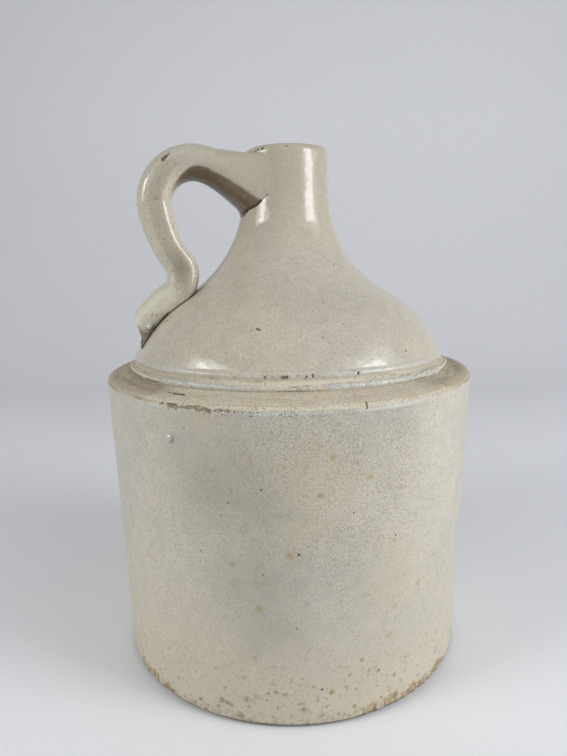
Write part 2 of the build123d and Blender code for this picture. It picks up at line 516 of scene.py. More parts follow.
def make_body():
    """The crock body: base, wall, ledge with its worn edge, lip and hollow.

    A way is the length along the profile from the middle of the ledge's edge, less than 0 below it.
    """
    near_axis = 0.5
    foot_top = 14.0
    edge_foot = edge_height - 12
    edge_middle = (wall_top_radius - 0.7, edge_height - 0.3)
    base_way = -100
    inside_way = 13.0
    chip_shows = 0.25
    wear_shows = 0.3
    ledge_under = seat_height - ledge_thickness
    profile = rounded((
        (near_axis, 0, 0, 0),
        (wall_base_radius, 0, base_rounding, 7),
        (wall_skin(foot_top), foot_top, 0, 1.0),
        (wall_skin(edge_foot), edge_foot, 0, 3.4),
        (wall_top_radius, edge_height, edge_rounding, 0.6),
        (seat_radius, seat_height, 0, 0.5),
        (lip_radius, seat_height, 0, 2.5),
        (lip_radius, ledge_under, lip_rounding, 2),
        (wall_skin(ledge_under) - wall_thickness, ledge_under, ledge_rounding, 3),
        (wall_skin(floor_thickness) - wall_thickness, floor_thickness, floor_rounding, 7),
        (near_axis, floor_thickness, 0, 9),
    ))
    way = ways(profile, edge_middle)[:, None]
    height = profile[:, 1:]
    inner = (way > inside_way) * 1.0
    outside = 1 - inner
    turn = circle(body_turns)[None, :]
    edge_depth = nibbled(turn, way, edge_wear, -1.0, 1.6, 11) * outside
    base_depth = nibbled(turn, height, base_wear, 3.2, 4.6, 13) * (way < base_way)
    wall = ease(height, 0.5, 12) * outside
    throwing = 0.05 * np.sin(height / 3.7 + np.sin(turn))
    wobble = 0.16 * lumps(turn + 0.004 * height, 1, 2, 5) + throwing - 0.28
    roll = 0.14 * swell(way, -2.6, 1.2) * (1 + 0.6 * lumps(turn, 3, 9, 80))
    broad_rings = 0.06 * np.sin(way * 2.4 + 2 * np.sin(turn))
    fine_rings = 0.04 * np.sin(way * 5.1 + np.sin(2 * turn))
    trim = swell(way, 5.6, 6.0) * (0.13 * lumps(turn, 4, 5, 40) + broad_rings + fine_rings)
    relief = (wobble + roll + trim) * wall - edge_depth - base_depth
    rings = turned(profile, body_turns, relief)
    marks = {
        "way": way + 0 * turn,
        "inner": inner + 0 * turn,
        "chip": np.clip(edge_depth / chip_shows, 0, 1),
        "wear": np.clip(base_depth / wear_shows, 0, 1),
    }
    return make_piece("crock_body_clay", rings, marks, loop=False)


def make_dome():
    """The domed shoulder: foot with its groove and glaze roll, flare, neck, rim and hollow.

    A way is the length along the profile from the foot's edge.
    """
    bore = neck_radius - dome_thickness
    inner_flare = flare_radius + dome_thickness
    foot_top = foot_lean + 15
    foot = (dome_foot_radius, dome_bottom)
    high_turn = radians(-60)
    crooked_reach = 22
    chip_shows = 0.3
    profile = joined((
        run((lip_radius + 0.4, dome_bottom), foot, 1.5),
        bend(shoulder_centre, shoulder_radius, foot_angle(shoulder_radius), foot_top, 0.42),
        bend(shoulder_centre, shoulder_radius, foot_top, flare_angle, 1.7),
        bend(flare_centre, flare_radius, 180 + flare_angle, 180, 1.7),
        rounded((
            (neck_radius, flare_centre[1], 0, 0),
            (neck_radius, rim_height, rim_outer_rounding, 1.4),
            (bore, rim_height, rim_inner_rounding, 0.4),
            (bore, flare_centre[1], 0, 1.6),
        )),
        bend(flare_centre, inner_flare, 180, 180 + flare_angle, 5),
        bend(shoulder_centre, inner_shoulder_radius, flare_angle, foot_angle(inner_shoulder_radius), 5),
    ))
    way = ways(profile, foot)[:, None]
    height = profile[:, 1:]
    inner = (np.arange(len(profile)) > np.argmax(profile[:, 1]))[:, None] * 1.0
    outside = 1 - inner
    turn = circle(dome_turns)[None, :]
    depth = nibbled(turn, way, roll_wear, roll_way - 0.4, 1.1, 21) * outside
    groove = groove_depth * swell(way, groove_way, groove_reach) * (1 + 0.15 * lumps(turn, 25, 5, 30))
    roll = roll_height * swell(way, roll_way, roll_reach) * (1 + 0.45 * lumps(turn, 22, 6, 50))
    hand = 0.10 * np.sin(2 * turn + height / 17) + 0.08 * np.sin(3 * turn - height / 11)
    throwing = 0.05 * np.sin(height / 1.35 + 1.5 * np.sin(turn)) * ease(height, 200, 225)
    smooth = ease(way, 8, 30) * outside
    relief = (roll - groove) * outside + (hand + throwing - 0.16) * smooth - depth
    rings = turned(profile, dome_turns, relief)
    crooked = 0.5 * (np.cos(turn - high_turn) - 1) + 0.25 * (lumps(turn, 24, 2, 6) - 1)
    rings[:, :, 2] += crooked * ease(height, rim_height - crooked_reach, rim_height)
    marks = {
        "way": way + 0 * turn,
        "inner": inner + 0 * turn,
        "chip": np.clip(depth / chip_shows, 0, 1),
    }
    return make_piece("shoulder_dome_clay", rings, marks, loop=True)


def make_bead():
    """The ring of slip that beds the dome on the ledge, with an uneven bead squeezed out round it."""
    bed_width = 3
    bed_inset = 0.5
    skirt = 0.3
    turn = circle(bead_turns)[None, :]
    glassy = np.zeros_like(turn)
    for first, last in bead_glass:
        glassy = np.maximum(glassy, 1 - ease(off_middle(turn, first, last), 0.7, 1.1))
    worn = 1 - glassy
    size = (1 + 0.3 * lumps(turn, 31, 7, 110)) * (1 - 0.4 * worn)
    bead_centre = (dome_foot_radius + 0.15, seat_height + 0.8)
    angles = np.radians(np.linspace(-60, 140, 15))[:, None]
    bulge_radius = bead_centre[0] + bead_reach * size * np.cos(angles)
    bulge_height = bead_centre[1] + bead_height * size * np.sin(angles)
    bed = np.array((
        (bead_centre[0] - bed_width, dome_bottom),
        (lip_radius + bed_inset, dome_bottom),
        (lip_radius + bed_inset, seat_height),
    ))
    radius = np.vstack((bulge_radius, bed[:, :1] + 0 * turn))
    height = np.vstack((np.maximum(bulge_height, seat_height - skirt), bed[:, 1:] + 0 * turn))
    rings = np.stack((radius * np.cos(turn), radius * np.sin(turn), height), axis=2)
    return make_piece("shoulder_bead", rings, {"worn": worn + 0 * radius}, loop=True)


def tangent_arc(start, heading, end):
    """An arc that leaves start along heading and ends at end: its start, heading, length and turn."""
    chord = end - start
    turn = 2 * float(np.angle(chord / heading))
    length = abs(chord) if abs(turn) < 1e-9 else abs(chord) * (turn / 2) / sin(turn / 2)
    return start, heading, length, turn


def handle_path():
    """The strap's centre line as arcs of (start, heading, length, turn). Its places are complex numbers."""
    climb = complex(1, tan(radians(root_climb)))
    seat = complex(neck_radius, rim_height - root_drop)
    start = seat - climb * root_depth
    arch_start = seat + climb * arch_start_reach
    heading = climb / abs(climb)
    root = (start, heading, abs(arch_start - start), 0.0)
    grip = complex(neck_radius + grip_reach, rim_height - grip_drop)
    arch = tangent_arc(arch_start, heading, grip)
    grip_heading = heading * np.exp(1j * arch[3])
    tail_start = on_shoulder(tail_start_angle, tail_start_rise)
    tail_heading = complex(sin(radians(tail_start_angle)), -cos(radians(tail_start_angle)))
    span = tail_start - grip
    along_tail = (span * tail_heading.conjugate()).real
    along_grip = (span * grip_heading.conjugate()).real
    agreement = (grip_heading * tail_heading.conjugate()).real
    follow = (abs(span) ** 2 / 2 - elbow_lead * along_grip) / (along_tail + elbow_lead * (1 - agreement))
    share = follow / (elbow_lead + follow)
    elbow = share * (grip + grip_heading * elbow_lead) + (1 - share) * (tail_start - tail_heading * follow)
    lower_grip = tangent_arc(grip, grip_heading, elbow)
    elbow_bend = tangent_arc(elbow, grip_heading * np.exp(1j * lower_grip[3]), tail_start)
    tail = tangent_arc(tail_start, tail_heading, on_shoulder(tail_end_angle, tail_end_rise))
    return [root, arch, lower_grip, elbow_bend, tail]


strap_path = handle_path()
strap_stations = np.concatenate(([0], np.cumsum([arc[2] for arc in strap_path])))


def strap_surface(length, around):
    """Points of the strap's skin at lengths along its path and angles round it, and their directions."""
    length, around = np.broadcast_arrays(length, around)
    starts, headings, reaches, turns = (np.array(values) for values in zip(*strap_path))
    index = np.clip(np.searchsorted(strap_stations, length, "right") - 1, 0, len(strap_path) - 1)
    share = (length - strap_stations[index]) / reaches[index]
    turned_by = turns[index] * share
    chord = reaches[index] * share * np.sinc(turned_by / (2 * pi))
    place = starts[index] + headings[index] * chord * np.exp(0.5j * turned_by)
    heading = headings[index] * np.exp(1j * turned_by)
    width, thickness, square_outside, square_inside = (
        values[index] + (values[index + 1] - values[index]) * ease(share, 0, 1) for values in strap_sections
    )
    outside = np.sin(around) > 0
    squareness = np.where(outside, square_outside, square_inside)
    side = np.sign(np.cos(around)) * np.abs(np.cos(around)) ** (2 / squareness)
    out = np.sign(np.sin(around)) * np.abs(np.sin(around)) ** (2 / squareness)
    arch, grip, elbow, tail = strap_stations[1:5]
    gripped = ease(length, arch, grip) * (1 - ease(length, elbow + 2, tail + 8))
    groove = side_groove_depth * gripped * np.exp(-(np.sin(around) / 0.36) ** 2)
    pinched = np.exp(-((length - elbow - 2) / pinch_reach) ** 2)
    pinch = pinch_depth * pinched * np.exp(-(np.sin(around) / 0.45) ** 2)
    bulge = elbow_bulge * np.exp(-((length - elbow - 7) / elbow_bulge_reach) ** 2) * ~outside
    across = side * (width / 2 - groove - pinch)
    skin = 1j * heading * out
    lifted = place + skin * (thickness / 2 - strap_inset + bulge)
    direction = np.stack((-skin.real, side, skin.imag), axis=-1)
    return np.stack((-lifted.real, across, lifted.imag), axis=-1), direction


def neck_skin(height):
    """Radius of the neck and flare at a height."""
    below = np.clip(flare_centre[1] - height, 0, flare_radius * 0.98)
    return flare_centre[0] - np.sqrt(flare_radius ** 2 - below ** 2)


def crossing(lengths, gaps):
    """Length at which each column's gap changes sign, the last one along the lengths."""
    inside = gaps[:-1] * gaps[1:] <= 0
    last = inside.shape[0] - 1 - np.argmax(inside[::-1], axis=0)
    columns = np.arange(gaps.shape[1])
    before, after = gaps[last, columns], gaps[last + 1, columns]
    return lengths[last] + (lengths[last + 1] - lengths[last]) * before / (before - after)


def curved(start, corner, end, steps):
    """Points along a smooth bend from start to end that a corner draws towards itself."""
    return (1 - steps) ** 2 * start + 2 * steps * (1 - steps) * corner + steps ** 2 * end


def root_blend(around):
    """Where each column lies at the root: at its sides, on its crown and on its keel, from 0 to 1."""
    height = np.sin(around)
    sides = ease(height, -0.45, 0.25)
    crown = ease(height, 0.72, 1.0)
    keel = 1 - ease(height, -1.0, -0.86)
    return sides, crown, keel


def root_fillet(around, root_end, start, direction):
    """Rings that blend the strap's root into the neck, with a sharp crack along its lower flanks."""
    sides, crown, keel = root_blend(around)
    side_lead = root_blend_on_neck * sides * (1 - crown)
    neck_lead = 0.6 + side_lead + crown_blend_on_neck * crown + keel_blend * keel
    corner = strap_surface(root_end, around)[0]
    outward = unit(corner * (1, 1, 0))
    spread = unit(direction - outward * np.sum(direction * outward, axis=1)[:, None])
    landing = corner + spread * neck_lead[:, None]
    landing[:, 2] = np.minimum(landing[:, 2], rim_height - rim_outer_rounding - 0.2)
    axis_reach = np.hypot(landing[:, 0], landing[:, 1])
    landing[:, :2] *= ((neck_skin(landing[:, 2]) - sink) / axis_reach)[:, None]
    anchor = landing.copy()
    anchor[:, :2] *= (1 - 3 / axis_reach)[:, None]
    steps = np.linspace(0, 1, 15)[:-1, None, None]
    return np.concatenate((anchor[None], curved(landing, corner, start, steps)))


def tail_face(tail_end, around, rounding, start):
    """Rings that turn the strap's edge over onto its blunt, dished end."""
    edge = strap_surface(tail_end, around)[0]
    middle = edge.mean(axis=0)
    face = edge + unit(middle - edge) * rounding[:, None]
    steps = np.linspace(0, 1, 8)[1:, None, None]
    inner_shares = np.array((0.75, 0.5, 0.25))[:, None, None]
    dish = np.array((3.0, 0.0, 1.0))
    hollow = middle + (face - middle) * inner_shares + dish * (1 - inner_shares)
    return np.concatenate((curved(start, edge, face, steps), hollow))


def strap_ends(around):
    """Lengths at which each column meets the neck and ends at the tail, and the tail's rounding."""
    root_samples = 240
    tail_samples = 160
    notch_angle = radians(215)
    notch_reach = radians(60)
    lengths = np.linspace(0, strap_stations[1], root_samples)
    skin = strap_surface(lengths[:, None], around)[0]
    root_end = crossing(lengths, np.hypot(skin[:, :, 0], skin[:, :, 1]) - neck_skin(skin[:, :, 2]))
    lengths = np.linspace(strap_stations[4], strap_stations[5], tail_samples)
    skin = strap_surface(lengths[:, None], around)[0]
    cut = on_shoulder(tail_cut_angle, 0)
    past_cut = -skin[:, :, 0] - cut.real - (skin[:, :, 2] - cut.imag) * tan(radians(tail_cut_lean))
    broken = swell(around, notch_angle, notch_reach)
    tail_end = crossing(lengths, past_cut) - tail_notch * broken
    rounding = tail_rounding * (1 - 0.65 * broken) * (1 - 0.55 * ease(np.sin(around), 0.1, 0.7))
    return root_end, tail_end, rounding


def settle(rings, along, around):
    """Presses the strap's lower end onto the dome. Gives how far its skin then lies over the dome."""
    elbow, tail_start, tail_end = strap_stations[3:]
    reach = np.hypot(rings[:, :, 0], rings[:, :, 1]) - shoulder_centre[0]
    rise = rings[:, :, 2] - shoulder_centre[1]
    over = np.hypot(reach, rise) - shoulder_radius
    pressing = ease(along, elbow + 8, tail_start - 2)
    lifting = ease(along, tail_end - 24, tail_end - 8)
    pressed = ease(-np.sin(around), 0.05, 0.5) * pressing * (1 - 0.8 * lifting)
    settled = np.where(along > elbow, np.maximum(over - (over + sink) * pressed, -sink), over)
    pull = (shoulder_radius + settled) / (shoulder_radius + over)
    rings[:, :, :2] *= ((shoulder_centre[0] + reach * pull) / (shoulder_centre[0] + reach))[:, :, None]
    rings[:, :, 2] = shoulder_centre[1] + rise * pull
    return settled


def make_handle():
    """The strap handle: root drawn out onto the neck, arch, grip, pinched elbow and blunt tail."""
    around = circle(strap_columns) + pi / strap_columns
    root_end, tail_end, rounding = strap_ends(around)
    sides, _, keel = root_blend(around)
    first = root_end + 0.8 + root_blend_on_strap * sides + keel_blend * keel
    last = tail_end - rounding
    lengths = first + (last - first) * np.linspace(0, 1, strap_rows)[:, None]
    strap, direction = strap_surface(lengths, around)
    root = root_fillet(around, root_end, strap[0], direction[0])
    tail = tail_face(tail_end, around, rounding, strap[-1])
    rings = np.concatenate((root, strap, tail))
    along = np.vstack((np.tile(first, (len(root), 1)), lengths, np.tile(last, (len(tail), 1))))
    settled = settle(rings, along, around)

    # Painted shade: a crease line where the root's lower flanks meet the neck, and a contact line where the
    # tail lies on the dome
    corner = strap_surface(root_end, around)[0]
    flank = 1 - ease(np.sin(around), -0.5, -0.3)
    shade_line = flank * (1 - ease(np.linalg.norm(rings - corner, axis=2), 0.6, 1.7))
    # The tail's dished end, whose lower half takes painted shade
    end_rows = (np.arange(len(rings)) > len(root) + strap_rows + 2)[:, None]
    marks = {
        "seam_shade": np.where(along > strap_stations[3], 1 - ease(settled, 0.0, 0.6), shade_line),
        "pocket_shade": end_rows * ease(-np.sin(around), -0.5, 0.3),
        "outer": np.sin(around) + 0 * along,
        "along": along,
    }
    return make_piece("strap_handle", rings, marks, loop=False)


def make_drop(name, centre, outward, reach, rise):
    """A rounded drop of glass that stands out of a surface."""
    rows = 14
    columns = 36
    angles = np.radians(np.linspace(88, -30, rows))[:, None, None]
    around = circle(columns)[None, :, None]
    out = unit(np.array(outward))
    side = unit(np.cross(out, (0, 0, 1)))
    spread = reach * np.cos(angles) * (1 + 0.16 * np.sin(2 * around + 1) + 0.08 * np.sin(3 * around))
    flat = side * np.cos(around) + 1.1 * np.cross(side, out) * np.sin(around)
    rings = np.array(centre) + flat * spread + out * rise * np.sin(angles)
    return make_piece(name, rings, {}, loop=False)


class Shader:
    """One material and its nodes. Texture places are in millimetres in the object's frame."""

    def __init__(self, name):
        self.material = bpy.data.materials.new(name)
        self.material.use_nodes = True
        self.tree = self.material.node_tree
        self.surface = self.tree.nodes["Principled BSDF"]
        place = self.node("ShaderNodeTexCoord", {})["Object"]
        self.place = self.vector("MULTIPLY", place, (1 / MM,) * 3)
        self.colour = None

    def put(self, socket, value):
        """Gives a socket a constant, or links another socket to it."""
        if isinstance(value, bpy.types.NodeSocket):
            self.tree.links.new(value, socket)
        else:
            socket.default_value = value

    def node(self, kind, inputs, **settings):
        """Outputs of a new node, whose inputs are given by their names or numbers."""
        node = self.tree.nodes.new(kind)
        for setting, value in settings.items():
            setattr(node, setting, value)
        for socket, value in inputs.items():
            self.put(node.inputs[socket], value)
        return node.outputs

    def vector(self, operation, first, second):
        outputs = self.node("ShaderNodeVectorMath", {0: first, 1: second}, operation=operation)
        return outputs["Value" if operation in ("DISTANCE", "DOT_PRODUCT") else "Vector"]

    def math(self, operation, *values):
        return self.node("ShaderNodeMath", dict(enumerate(values)), operation=operation)[0]

    def times(self, *values):
        """Product of several values."""
        return reduce(partial(self.math, "MULTIPLY"), values)

    def most(self, *values):
        """Largest of several values."""
        return reduce(partial(self.math, "MAXIMUM"), values)

    def scale(self, value, gain, base):
        """A value times a gain, plus a base."""
        return self.math("MULTIPLY_ADD", value, gain, base)

    def step(self, value, low, high):
        """Smooth step from 0 at low to 1 at high. Low may be the larger of the two."""
        rising = high > low
        inputs = {
            "Value": value,
            "From Min": min(low, high),
            "From Max": max(low, high),
            "To Min": 0.0 if rising else 1.0,
            "To Max": 1.0 if rising else 0.0,
        }
        return self.node("ShaderNodeMapRange", inputs, interpolation_type="SMOOTHSTEP")["Result"]

    def band(self, value, start, end, soft):
        """1 between start and end, with soft edges."""
        rise = self.step(value, start - soft, start + soft)
        fall = self.step(value, end + soft, end - soft)
        return self.times(rise, fall)

    def mix(self, factor, first, second, mode="MIX"):
        inputs = {0: factor, 6: first, 7: second}
        return self.node("ShaderNodeMix", inputs, data_type="RGBA", blend_type=mode)[2]

    def layered(self, colour, *layers):
        """A colour under layers of (paint, masks), each as strong as the product of its masks."""
        for top, *masks in layers:
            colour = self.mix(self.times(*masks), colour, top)
        return colour

    def coat(self, *layers):
        """Puts layers over the material's colour so far."""
        self.colour = self.layered(self.colour, *layers)

    def attribute(self, name):
        return self.node("ShaderNodeAttribute", {}, attribute_name=name)["Fac"]

    def axes(self):
        """The place's three parts."""
        return self.node("ShaderNodeSeparateXYZ", {0: self.place})

    def ringwise(self, way):
        """A texture place that draws features out along the rings that a turned piece has."""
        drawn_out = 0.12
        across, along = self.axes()[:2]
        inputs = {0: self.times(across, drawn_out), 1: self.times(along, drawn_out), 2: way}
        return self.node("ShaderNodeCombineXYZ", inputs)[0]

    def noise(self, size, detail=2.0, offset=(0, 0, 0), place=None, output="Fac"):
        """Noise whose features are about this many millimetres across."""
        moved = self.vector("ADD", place or self.place, offset)
        inputs = {"Vector": moved, "Scale": 1 / size, "Detail": detail}
        return self.node("ShaderNodeTexNoise", inputs)[output]

    def flecks(self, size, low, high, offset, place=None, detail=2.0):
        """Scattered flecks, where noise of this size passes from low to high."""
        return self.step(self.noise(size, detail, offset, place), low, high)

    def wavering(self, size, reach, offset=(0, 0, 0)):
        """The place, moved about by noise of this size and reach."""
        shift = self.noise(size, offset=offset, output="Color")
        steady = self.vector("SUBTRACT", self.place, (reach,) * 3)
        return self.vector("ADD", steady, self.vector("MULTIPLY", shift, (2 * reach,) * 3))

    def cells(self, size, place, feature):
        """Voronoi cells about this many millimetres across."""
        return self.node("ShaderNodeTexVoronoi", {"Vector": place, "Scale": 1 / size}, feature=feature)

    def pinholes(self, spacing):
        """Scattered round dots: cells of a spacing, about half of which hold a dot."""
        reach = 0.4
        offset = (5, 2, 31)
        place = self.vector("ADD", self.wavering(reach * 1.6, reach * 0.45, offset), offset)
        cells = self.cells(spacing, place, "F1")
        choice, spread = self.node("ShaderNodeSeparateColor", {0: cells["Color"]})[:2]
        chosen = self.math("LESS_THAN", choice, 0.5)
        size = self.scale(spread, 0.8 * reach / spacing, 0.6 * reach / spacing)
        inside = self.math("DIVIDE", cells["Distance"], size)
        return self.times(self.step(inside, 1.0, 0.55), chosen)

    def spots(self, marks, waver, core=0.5):
        """Marks at chosen places, each (x, y, z, reach). Each is whole out to a core share of its reach."""
        place = self.wavering(1.6 + waver, waver)
        spots = []
        for *centre, reach in marks:
            distance = self.vector("DISTANCE", place, tuple(centre))
            spots.append(self.step(distance, reach, reach * core))
        return self.most(*spots)

    def strokes(self, marks, waver, core=0.4):
        """Lines of (start, end, reach) between chosen places, whole out to a core share of the reach."""
        place = self.wavering(1.2 + waver, waver)
        lines = []
        for start, end, reach in marks:
            span = Vector(end) - Vector(start)
            ahead = self.vector("SUBTRACT", place, start)
            share = self.vector("DOT_PRODUCT", ahead, span / span.length_squared)
            share = self.math("MINIMUM", self.most(share, 0.0), 1.0)
            distance = self.vector("DISTANCE", ahead, self.vector("MULTIPLY", share, span))
            lines.append(self.step(distance, reach, reach * core))
        return self.most(*lines)

    def finish(self, roughness, relief, depth):
        """The material with its colour, a roughness, and a relief of a depth in millimetres."""
        bump = self.node("ShaderNodeBump", {"Strength": 1.0, "Distance": depth * MM, "Height": relief})
        self.put(self.surface.inputs["Base Color"], self.colour)
        self.put(self.surface.inputs["Roughness"], roughness)
        self.put(self.surface.inputs["Normal"], bump[0])
        return self.material


def on_ring(turn, radius, height):
    """A place given by its turn about Z, its radius and its height."""
    return radius * cos(radians(turn)), radius * sin(radians(turn)), height


def on_rings(marks):
    """Marks given as (turn, radius, height, reach), as (x, y, z, reach)."""
    return [(*on_ring(*place), reach) for *place, reach in marks]


def ring_strokes(marks):
    """Strokes whose ends are given as (turn, radius, height), with their ends as (x, y, z)."""
    return [(on_ring(*start), on_ring(*end), reach) for start, end, reach in marks]


def on_skin(marks, skin):
    """Marks given as (turn, height, reach) on a turned skin, as (x, y, z, reach)."""
    return on_rings([(turn, skin(height), height, reach) for turn, height, reach in marks])


def facing(shader, turn, full, gone):
    """1 on the side that faces a turn, fading out between two angles away from it."""
    reach = shader.vector("DOT_PRODUCT", shader.place, on_ring(turn, 1, 0))
    return shader.step(reach, wall_top_radius * cos(radians(gone)), wall_top_radius * cos(radians(full)))


def glaze_coat(shader, tints, mottling, graining, craze, speckle):
    """Paints the plain glaze, with tints, mottling, grain, speckle and crazing, and gives its relief."""
    plain, cool, warm = tints
    drift = shader.flecks(70, 0.42, 0.6, (40, 10, 5))
    flush = shader.flecks(30, 0.48, 0.7, (3, 90, 20), detail=3.0)
    tinted = shader.layered(plain, (cool, drift), (warm, flush, 0.5))
    mottle = shader.scale(shader.noise(5.5, 4.0, (11, 0, 60)), mottling, 1 - mottling / 2)
    grain = shader.scale(shader.noise(0.9, 4.0), graining, 1 - graining / 2)
    shader.colour = shader.mix(1.0, tinted, shader.times(mottle, grain), "MULTIPLY")
    freckles = shader.flecks(1.0, 0.62, 0.72, (70, 20, 0))
    edges = shader.cells(1.35, shader.wavering(2.2, 0.4), "DISTANCE_TO_EDGE")["Distance"]
    patchy = shader.scale(shader.flecks(36, 0.4, 0.62, (0, 33, 90)), 0.4, 0.6)
    field = shader.scale(shader.spots(on_skin(craze_fields, wall_skin), 12.0, 0.3), 0.8, 0.2)
    crackle = shader.times(shader.step(edges, 0.14, 0.0), patchy, field, craze)
    shader.coat((speckle_brown, freckles, speckle), (craze_brown, crackle))
    fine = shader.times(shader.noise(2.6, 3.0, (5, 5, 5)), 0.25)
    broad = shader.times(shader.noise(8, 3.0), 1.9)
    return shader.math("SUBTRACT", shader.math("ADD", fine, broad), shader.times(crackle, 0.4))


def root_crease_shade(shader):
    """Painted crease shade along the crack under the handle's root, broken up along its length."""
    broken = shader.scale(shader.flecks(1.3, 0.36, 0.52, (4, 0, 44)), 0.7, 0.3)
    return shader.times(shader.strokes(ring_strokes([root_stroke]), 0.5), broken)


def neck_tint(shader):
    """How far the colour is made browner and darker up the neck."""
    return shader.times(shader.step(shader.axes()["Z"], 195, 240), 0.5)


def chip_colour(shader):
    """Bare clay in a chip: tan, with dark stains and a few pale grains."""
    stains = shader.flecks(0.7, 0.42, 0.58, (2, 9, 70))
    grains = shader.flecks(0.7, 0.58, 0.68, (60, 9, 7))
    return shader.layered(chip_tan, (chip_brown, stains), (clay_cream, grains, 0.7))


def ragged(shader, name, offset, soft=0.14):
    """A worn place's mark with its outline broken up and somewhat soft."""
    broken = shader.math("ADD", shader.attribute(name), shader.noise(1.4, 3.0, offset))
    return shader.step(broken, 0.86 - soft, 0.86 + soft)


def body_material():
    """Glaze of the crock body: crazed and marked wall, wiped ledge, worn base and plain inside."""
    shader = Shader("body_glaze")
    relief = glaze_coat(shader, (putty, ash, blush), 0.3, 0.65, 0.55, 0.6)
    height = shader.axes()["Z"]
    patchy = shader.scale(shader.noise(1.5, 3.0, (4, 4, 9)), 1.7, -0.05)
    wander = shader.scale(shader.noise(9, 4.0, (0, 50, 0)), 1.6, -0.8)
    paint_wall(shader, height, patchy)
    bare = paint_ledge(shader, wander)
    worn = paint_base(shader, height, wander, patchy)
    chip = ragged(shader, "chip", (2, 9, 70))
    shader.coat((inner_glaze, shader.attribute("inner")), (chip_colour(shader), chip, 0.8))
    return shader.finish(shader.scale(shader.most(bare, worn, chip), 0.38, 0.42), relief, 0.09)


def paint_wall(shader, height, patchy):
    """Clouds, stains, flecks, pinholes and single marks on the body's wall."""
    stains = shader.flecks(3.6, 0.6, 0.72, (13, 8, 2))
    stained = shader.times(stains, shader.flecks(26, 0.44, 0.58, (8, 1, 3)))
    shader.coat(
        (sand, shader.step(height, 80, 6), 0.55),
        # Grey glaze, with painted shade at the front left
        (grey_glaze_and_shade, shader.spots(on_skin(grey_and_shade_patches, wall_skin), 9.0, 0.0), 0.5),
        (tan_glaze, shader.spots(on_skin(tan_patches, wall_skin), 7.0, 0.0), 0.4),
        (ochre, stained, 0.4),
        (fleck_olive, shader.flecks(2.6, 0.6, 0.68, (1, 28, 9)), shader.step(height, 52, 6), 0.6),
        (pit_black, shader.pinholes(13), 0.8),
        (ochre, shader.spots(on_skin(ochre_marks, wall_skin), 1.3, 0.1), patchy),
        (ochre, shader.spots(on_skin(faint_marks, wall_skin), 1.3, 0.1), patchy, 0.6),
        (fleck_olive, shader.spots(on_skin(smudge_marks, wall_skin), 0.9, 0.2), patchy),
        (rust, shader.spots(on_skin(rust_marks, wall_skin), 0.9, 0.2), 0.35),
        (pit_black, shader.spots(on_skin(pin_marks, wall_skin), 0.12)),
    )


def paint_ledge(shader, wander):
    """Pooled and pitted glaze along the ledge's edge, and its clay with marks. Gives where it is bare."""
    way = shader.math("ADD", shader.attribute("way"), wander)
    rings = shader.ringwise(shader.attribute("way"))
    pools = shader.flecks(2.2, 0.42, 0.56, (0, 4, 0), rings)
    pits = shader.flecks(0.8, 0.56, 0.66, (6, 6, 0))
    dashes = shader.flecks(2.0, 0.4, 0.58, (5, 0, 9), rings)
    front = shader.scale(facing(shader, clean_turn, 30, 60), 0.65, 0.1)
    pitted = shader.scale(facing(shader, pitted_turn, 14, 28), 0.7, 0.15)
    sides = shader.scale(facing(shader, clean_turn, 30, 50), -0.6, 0.6)
    bare = shader.step(way, -1.2, -0.4)
    shader.coat(
        (pooled_white, shader.band(way, -2.6, -1.2, 0.4), pools, front),
        (clay_speck, shader.band(way, -3.4, -0.6, 0.5), pits, pitted),
        (ledge_clay(shader, way, rings), bare),
        (base_brown, shader.band(way, -0.9, 0.3, 0.3), dashes, sides),
        (pit_black, shader.strokes(ring_strokes(ledge_strokes), 0.3), 0.9),
    )
    return bare


def ledge_clay(shader, way, rings):
    """Bare clay of the ledge: a cream edge with a dark line inside it, tan streaks, specks and grime."""
    front = facing(shader, clean_turn, 38, 52)
    sides = shader.scale(front, -0.72, 1.0)
    cream = shader.scale(shader.flecks(9, 0.38, 0.58, (31, 7, 2)), 0.65, 0.2)
    lined = shader.times(shader.band(way, 1.5, 2.1, 0.3), shader.flecks(4, 0.44, 0.6, (7, 0, 0), rings))
    streaks = shader.times(shader.flecks(0.9, 0.5, 0.64, (0, 0, 40), rings), shader.step(way, 1.5, 6))
    grime = shader.times(shader.flecks(6, 0.3, 0.6, (90, 0, 4), rings), shader.step(way, 0.5, 6))
    return shader.layered(
        bare_clay,
        (clay_cream, shader.step(way, 2.4, 1.2), cream, front),
        (clay_pink, shader.flecks(7, 0.45, 0.65, (30, 0, 9)), 0.45),
        (clay_grime, lined, 0.3),
        (straw, shader.flecks(1.5, 0.5, 0.62, (12, 0, 3), rings), 0.55),
        (clay_tan, shader.step(front, 0.6, 0.1), 0.45),
        (clay_grime, streaks, sides, 0.5),
        (clay_grime, grime, sides, 0.5),
        (clay_speck, shader.flecks(0.8, 0.56, 0.66, (8, 80, 8)), 0.5),
    )


def paint_base(shader, height, wander, patchy):
    """Worn and chipped clay along the base's edge, a dark line of painted contact shadow and grime along
    its foot, and dirt. Gives where it is worn.
    """
    under = shader.step(shader.math("ADD", height, wander), 1.6, 0.2)
    chipped = shader.times(
        shader.spots(on_skin(base_chips, wall_skin), 1.6, 0.3),
        shader.step(patchy, 0.4, 0.8),
    )
    worn = shader.most(under, ragged(shader, "wear", (8, 3, 5), 0.34), chipped)
    worn_clay = shader.mix(shader.flecks(1.4, 0.44, 0.6, (3, 3, 30)), base_tan, base_brown)
    # Painted contact shadow and grime in a dark line along the foot
    grime_and_shade_line = shader.step(shader.math("ADD", height, shader.times(wander, 0.4)), 3.0, 1.7)
    dirt = shader.times(shader.flecks(2.2, 0.44, 0.64, (9, 2, 6)), shader.step(height, 9, 2))
    shader.coat((worn_clay, worn, 0.8), (grime_and_shade, grime_and_shade_line, 0.85), (grime_and_shade, dirt, 0.4))
    return worn


